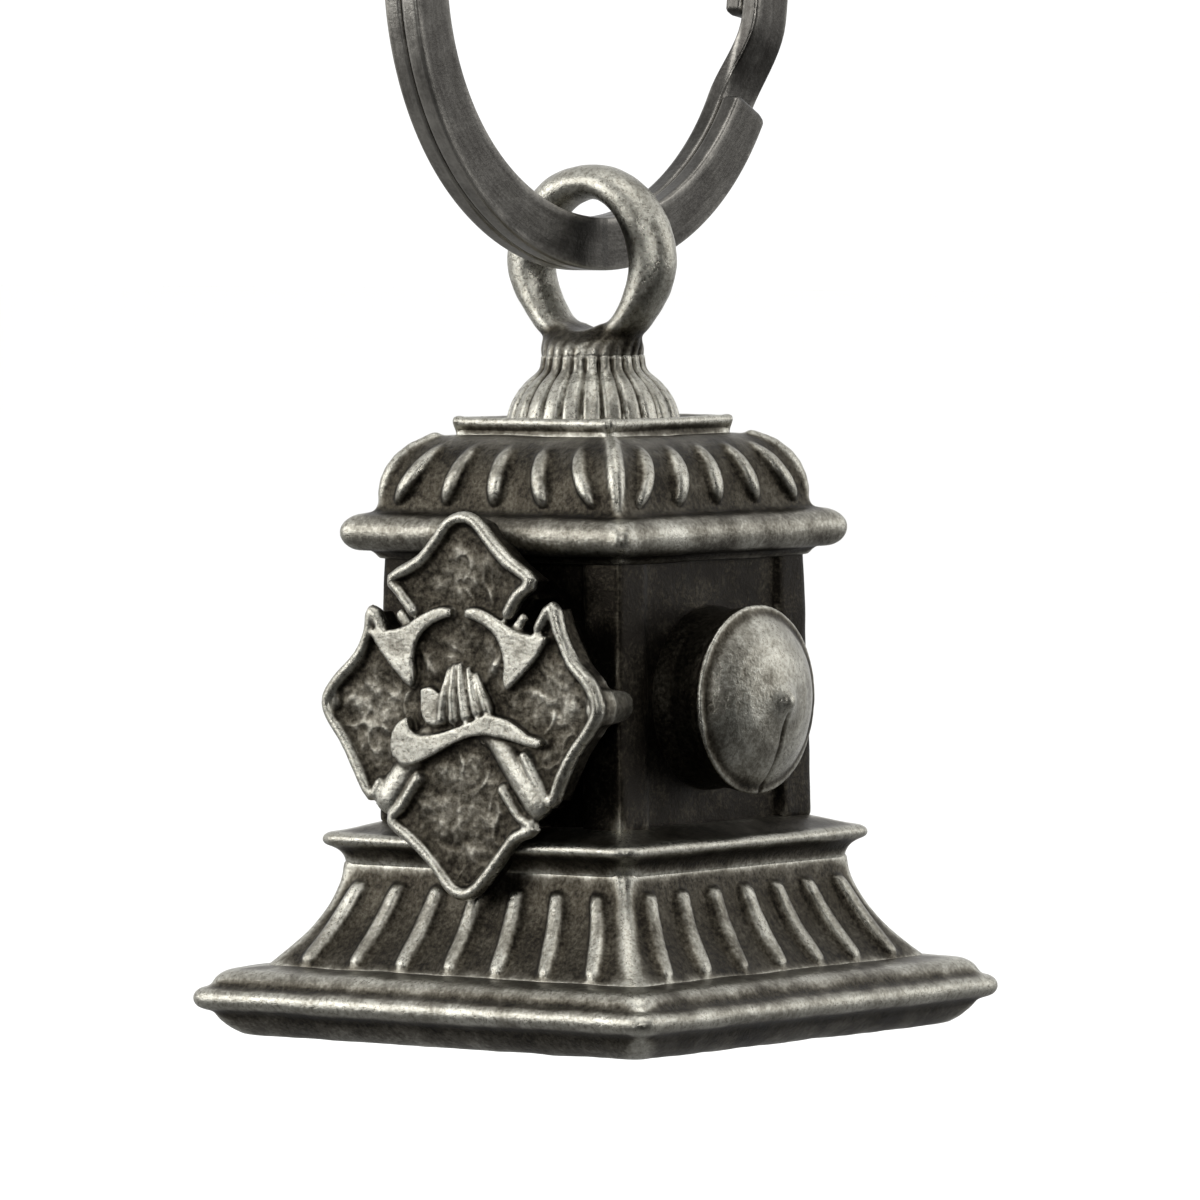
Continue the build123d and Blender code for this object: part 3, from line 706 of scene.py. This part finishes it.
def node(tree, kind, settings=None, out=0, **links):
    """Adds a shader node and gives back its output called or numbered out. settings sets its
    properties, or its colour stops as (position, hex colour). Each link is a socket's name, or i
    and its number, with a value or with another node's output."""
    made = tree.nodes.new("ShaderNode" + kind)
    for name, value in (settings or {}).items():
        if name == "stops":
            for _ in value[2:]:
                made.color_ramp.elements.new(0.5)
            for element, stop in zip(made.color_ramp.elements, value):
                element.position, element.color = stop[0], linear(stop[1])
        else:
            setattr(made, name, value)
    for name, value in links.items():
        socket = made.inputs[int(name[1:]) if name[1:].isdigit() else name.replace("_", " ")]
        if isinstance(value, bpy.types.NodeSocket):
            tree.links.new(value, socket)
        else:
            socket.default_value = value
    return made.outputs[out] if made.outputs else made


SCALED_SUM = {"operation": "MULTIPLY_ADD"}          # i0 times i1, plus i2
SMOOTH = {"interpolation_type": "SMOOTHSTEP"}


def blank_material(name):
    made = bpy.data.materials.new(name)
    made.use_nodes = True
    made.node_tree.nodes.clear()
    return made, made.node_tree, node(made.node_tree, "TexCoord", out="Object")


def antiqued_pewter(name, wear_from, wear_to, least=0.12, streaks=False):
    """Cast pewter, blackened with acid and then rubbed back: brown-black in the hollows, pale
    warm grey and smoother wherever it stands proud, with the fine speckle of a cast skin."""
    made, tree, where = blank_material(name)
    edge = node(tree, "Attribute", {"attribute_name": "edge"}, out="Fac")
    swell = node(tree, "Attribute", {"attribute_name": "swell"}, out="Fac")
    # Whole stretches, patches of them where the rubbing missed, and the cast skin's grain,
    # which is drawn as coarse as shows.
    stretch = node(tree, "TexNoise", Vector=where, Scale=1 / (5 * MM), Detail=2.0)
    blotch = node(tree, "TexNoise", Vector=where, Scale=1 / (1.6 * MM), Detail=4.0, Roughness=0.62)
    grain = node(tree, "TexNoise", Vector=where, Scale=1 / (0.2 * MM), Detail=4.0, Roughness=0.75)
    height = node(tree, "Math", {"operation": "ADD"}, i0=edge, i1=swell)
    height = node(tree, "Math", SCALED_SUM, i0=blotch, i1=0.14, i2=height)
    height = node(tree, "Math", SCALED_SUM, i0=stretch, i1=0.2, i2=height)
    middle = 0.17
    if streaks:
        upright = node(tree, "Mapping", Vector=where, Scale=(1.0, 1.0, 0.06))
        lines = node(tree, "TexNoise", Vector=upright, Scale=1 / (0.35 * MM), Detail=3.0, Roughness=0.6)
        height = node(tree, "Math", SCALED_SUM, i0=lines, i1=0.3, i2=height)
        middle += 0.15
    worn = node(tree, "MapRange", SMOOTH, Value=height, From_Min=wear_from + middle,
                From_Max=wear_to + middle, To_Min=least - 0.6, To_Max=0.16)
    worn = node(tree, "Math", SCALED_SUM, i0=grain, i1=0.75, i2=worn)
    worn = node(tree, "Math", SCALED_SUM, i0=blotch, i1=0.45, i2=worn)
    colour = node(tree, "ValToRGB", {"stops": [(0.0, "1f1c18"), (0.14, "39352d"), (0.4, "5d5950"),
                                               (0.65, "8a877d"), (0.85, "b2b0a6"), (1.0, "cccabf")]},
                  Fac=worn)
    rough = node(tree, "MapRange", SMOOTH, Value=worn, To_Min=0.22, To_Max=0.07)
    rough = node(tree, "Math", SCALED_SUM, i0=grain, i1=0.4, i2=rough)
    bump = node(tree, "Bump", Strength=0.6, Distance=0.06 * MM, Height=grain)
    surface = node(tree, "BsdfPrincipled", Metallic=1.0, Base_Color=colour, Roughness=rough, Normal=bump)
    node(tree, "OutputMaterial", Surface=surface)
    return made


def dark_nickel():
    """Flat spring wire, dark nickel plated: smoky near-black, with fine marks along the wire from
    drawing it, paler where its edges have rubbed, and paler along its outer rim as a painted highlight."""
    made, tree, where = blank_material("dark_nickel_plated_steel")
    edge = node(tree, "Attribute", {"attribute_name": "edge"}, out="Fac")
    along = node(tree, "Attribute", {"attribute_name": "along"}, out="Fac")
    across = node(tree, "Attribute", {"attribute_name": "across"}, out="Fac")
    blotch = node(tree, "TexNoise", Vector=where, Scale=1 / (1.2 * MM), Detail=4.0, Roughness=0.6)
    grain = node(tree, "TexNoise", Vector=where, Scale=1 / (0.18 * MM), Detail=3.0, Roughness=0.7)
    # Places in the wire's own directions, drawn out ten times along it.
    wire = node(tree, "CombineXYZ", Z=node(tree, "SeparateXYZ", Vector=where, out="X"),
                X=node(tree, "Math", {"operation": "MULTIPLY"}, i0=along, i1=0.1 * MM),
                Y=node(tree, "Math", {"operation": "MULTIPLY"}, i0=across, i1=MM))
    drawn = node(tree, "TexNoise", Vector=wire, Scale=1 / (0.3 * MM), Detail=3.0, Roughness=0.7)
    marks = node(tree, "Math", {"operation": "ADD"}, i0=grain, i1=drawn)
    worn = node(tree, "Math", {"operation": "MULTIPLY"}, i0=edge, i1=0.45)
    worn = node(tree, "Math", SCALED_SUM, i0=blotch, i1=0.5, i2=worn)
    worn = node(tree, "Math", SCALED_SUM, i0=marks, i1=0.35, i2=worn)
    worn = node(tree, "MapRange", SMOOTH, Value=worn, From_Min=0.4, From_Max=1.3)
    colour = node(tree, "ValToRGB", {"stops": [(0.0, "363431"), (0.35, "5b5955"), (0.7, "85827c"),
                                               (1.0, "a8a59e")]}, Fac=worn)
    rough = node(tree, "MapRange", SMOOTH, Value=blotch, From_Min=0.2, From_Max=0.8, To_Min=0.28,
                 To_Max=0.42)
    bump = node(tree, "Bump", Strength=0.4, Distance=0.04 * MM, Height=marks)
    surface = node(tree, "BsdfPrincipled", Metallic=1.0, Base_Color=colour, Roughness=rough, Normal=bump)
    node(tree, "OutputMaterial", Surface=surface)
    return made


def nickel_wire():
    """Small round wire link, bright nickel plate dulled by handling."""
    made, tree, where = blank_material("nickel_plated_wire")
    blotch = node(tree, "TexNoise", Vector=where, Scale=1 / (0.6 * MM), Detail=3.0, Roughness=0.6)
    colour = node(tree, "ValToRGB", {"stops": [(0.3, "6f6c68"), (0.7, "a9a6a0")]}, Fac=blotch)
    rough = node(tree, "MapRange", SMOOTH, Value=blotch, From_Min=0.2, From_Max=0.8, To_Min=0.22,
                 To_Max=0.38)
    surface = node(tree, "BsdfPrincipled", Metallic=1.0, Base_Color=colour, Roughness=rough)
    node(tree, "OutputMaterial", Surface=surface)
    return made


def white_paper():
    """Matt card under the bell, with the faint mottle of its fibres."""
    made, tree, where = blank_material("white_paper")
    fibres = node(tree, "TexNoise", Vector=where, Scale=1 / (2 * MM), Detail=3.0)
    colour = node(tree, "ValToRGB", {"stops": [(0.3, "f4f4f3"), (0.7, "f8f8f7")]}, Fac=fibres)
    surface = node(tree, "BsdfPrincipled", Base_Color=colour, Roughness=0.9)
    node(tree, "OutputMaterial", Surface=surface)
    return made


# ---------------------------------------------------------------- the object

# How far, in mm, a place must stand out to be rubbed at all, and to be rubbed bright.
PEWTER = antiqued_pewter("antiqued_cast_pewter", -0.03, 0.19)
PANEL_PEWTER = antiqued_pewter("antiqued_cast_pewter_streaked", 0.17, 0.5, least=0.0, streaks=True)


def corner_wear_and_glint(p):
    """Corners of the square mouldings: worn pale, as all the bell brushes against reaches them first,
    with a painted glint laid on them too.
    """
    return 0.14 * exp(-((abs(p.x) - abs(p.y)) / 0.5) ** 2)


def outlet_rub(p):
    return -0.1 + 0.22 * step(abs(p.x), BARREL_HALF + 2.1, BARREL_HALF + 2.6)


def badge_rub(p):
    floor = -BADGE_LOW.y - RELIEF
    if abs(p.x) > BARREL_HALF and -p.y < floor:
        return -0.06
    field = 0.36 * step(-p.y, floor - 0.3, floor - 0.12)
    return -0.3 + field + 0.05 * step(-p.y, floor + 0.15, floor + 0.3)


def barrel_rub(p):
    off_edge = min(abs(p.x), abs(p.y)) - (BARREL_HALF - POST_WIDTH)
    return 0.9 * exp(-(off_edge / 0.22) ** 2) * max(0.0, noise.noise(p / 1.3) - 0.05)


def crown_rub(p):
    return 0.13 - 0.17 * step(p.z, EYE_Z - 1.1, EYE_Z - 0.2)


def eye_wear_and_highlight(p):
    # Lightens the eye above its neck: wear where the ring rides, with a painted highlight on top of it.
    return -0.06 + 0.42 * step(p.z, EYE_Z + 0.6, EYE_Z + 2.4)


# The foot's upper band is lightened a little as a painted highlight, where the light from above falls on
# it.
casting("foot", foot_shells(), 0.13, PEWTER, lambda p: corner_wear_and_glint(p) + 0.04 * step(p.z, 1.9, 2.3))
casting("skirt", skirt_shells(), 0.12, PEWTER, corner_wear_and_glint, soften=3)
casting("collar", collar_shells(), 0.12, PEWTER, lambda p: corner_wear_and_glint(p) + 0.03)
casting("barrel", barrel_shells(), 0.13, PANEL_PEWTER, barrel_rub)
casting("bonnet", bonnet_shells(), 0.11, PEWTER, corner_wear_and_glint, soften=3)
casting("top_plate", plate_shells(), 0.09, PEWTER, lambda p: corner_wear_and_glint(p) + 0.03)
casting("fluted_crown", crown_shells(), 0.06, PEWTER, crown_rub, soften=2,
        waves=((1.5, 0.03), (0.5, 0.01)))
casting("hanging_eye", eye_shells(), 0.08, PEWTER, eye_wear_and_highlight, soften=8,
        waves=((2.0, 0.06), (0.6, 0.02)))
casting("outlet_right", outlet_shells(1), 0.09, PEWTER, outlet_rub, carve=parting_line)
casting("outlet_left", outlet_shells(-1), 0.09, PEWTER, outlet_rub, carve=parting_line)
casting("cross_badge", badge_shells(), 0.08, PEWTER, badge_rub, soften=2, carve=hammered_field,
        waves=((1.8, 0.04), (0.5, 0.012)))
casting("clapper", clapper_shells(), 0.1, PEWTER, lambda p: 0.05, body="clapper")

place(split_ring(), "split_ring_wire", "ring", ["split_ring"], dark_nickel())
place(link(), "clapper_link_wire", "link", ["clapper_link"], nickel_wire())

for lug_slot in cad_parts["clapper_lug"].material_slots:
    lug_slot.material = PEWTER


# ---------------------------------------------------------------- stage, lights and camera

AZIMUTH, ELEVATION, ROLL = 38.62, 2.65, 0.376       # degrees
DISTANCE, LENS = 0.45, 311.4                        # metres from the aim point; mm
AIM_SIDE, AIM_HEIGHT = 0.24, 18.67                  # mm to the right, and above the foot
FLOOR_DROP = 0.03                                   # metres below the hanging bell

back = Vector((sin(radians(AZIMUTH)) * cos(radians(ELEVATION)),
               -cos(radians(AZIMUTH)) * cos(radians(ELEVATION)), sin(radians(ELEVATION))))
right = Vector((cos(radians(AZIMUTH)), sin(radians(AZIMUTH)), 0))
aim = Vector((0, 0, FOOT_Z + AIM_HEIGHT * MM)) + right * AIM_SIDE * MM

camera = bpy.data.objects.new("camera", bpy.data.cameras.new("camera"))
camera.data.lens = LENS
camera.data.sensor_width = 36
camera.data.clip_start, camera.data.clip_end = 0.01, 20
camera.rotation_mode = "QUATERNION"
turn_level = back.to_track_quat("Z", "Y")
camera.rotation_quaternion = turn_level @ Matrix.Rotation(radians(-ROLL), 3, "Z").to_quaternion()
camera.location = aim + back * DISTANCE
bpy.context.scene.collection.objects.link(camera)
bpy.context.scene.camera = camera

floor_bm = bmesh.new()
bmesh.ops.create_grid(floor_bm, x_segments=1, y_segments=1, size=3.0)
bmesh.ops.translate(floor_bm, vec=(0, 0, FOOT_Z - FLOOR_DROP), verts=floor_bm.verts)
floor_mesh = bpy.data.meshes.new("floor")
floor_bm.to_mesh(floor_mesh)
floor_bm.free()
floor = bpy.data.objects.new("floor", floor_mesh)
bpy.context.scene.collection.objects.link(floor)
floor_mesh.materials.append(white_paper())
floor.visible_glossy = False


def softbox(name, azimuth, elevation, distance, size, power):
    """Square area light aimed at the bell: degrees round and up, metres away and across, watts."""
    lamp = bpy.data.lights.new(name, "AREA")
    lamp.size, lamp.energy = size, power
    made = bpy.data.objects.new(name, lamp)
    a, e = radians(azimuth), radians(elevation)
    way = Vector((sin(a) * cos(e), -cos(a) * cos(e), sin(e)))
    made.location = Vector((0, 0, FOOT_Z + 0.02)) + way * distance
    made.rotation_mode = "QUATERNION"
    made.rotation_quaternion = way.to_track_quat("Z", "Y")
    bpy.context.scene.collection.objects.link(made)


softbox("key", -38, 17, 0.6, 0.35, 1.8)
softbox("top", 30, 75, 0.6, 0.4, 1.4)
softbox("rim", 130, 18, 0.6, 0.35, 0.65)
softbox("front", 34, 14, 0.6, 0.12, 0.9)

# The room is white all round, but for the dark side behind the camera and the unlit table,
# which are what the casting mirrors in its front and from below.
world = bpy.data.worlds.new("studio")
world.use_nodes = True
room = world.node_tree
outlook = node(room, "TexCoord", out="Generated")
facing = node(room, "VectorMath", {"operation": "DOT_PRODUCT"}, out="Value", i0=outlook, i1=back)
above = node(room, "SeparateXYZ", Vector=outlook, out="Z")
far_side = node(room, "MapRange", SMOOTH, Value=facing, From_Min=-0.1, From_Max=0.75, To_Min=0.95,
                To_Max=0.12)
table_dim = node(room, "MapRange", SMOOTH, Value=above, From_Min=-0.5, From_Max=0.15, To_Min=0.33)
mirrored_room = node(room, "Math", {"operation": "MULTIPLY"}, i0=far_side, i1=table_dim)
brightness = node(room, "MapRange", Value=node(room, "LightPath", out="Is Glossy Ray"), To_Min=1.12,
                  To_Max=mirrored_room)
room.links.new(brightness, room.nodes["Background"].inputs["Strength"])
room.nodes["Background"].inputs["Color"].default_value = (1, 1, 1, 1)
bpy.context.scene.world = world
bpy.context.scene.view_settings.view_transform = "Standard"
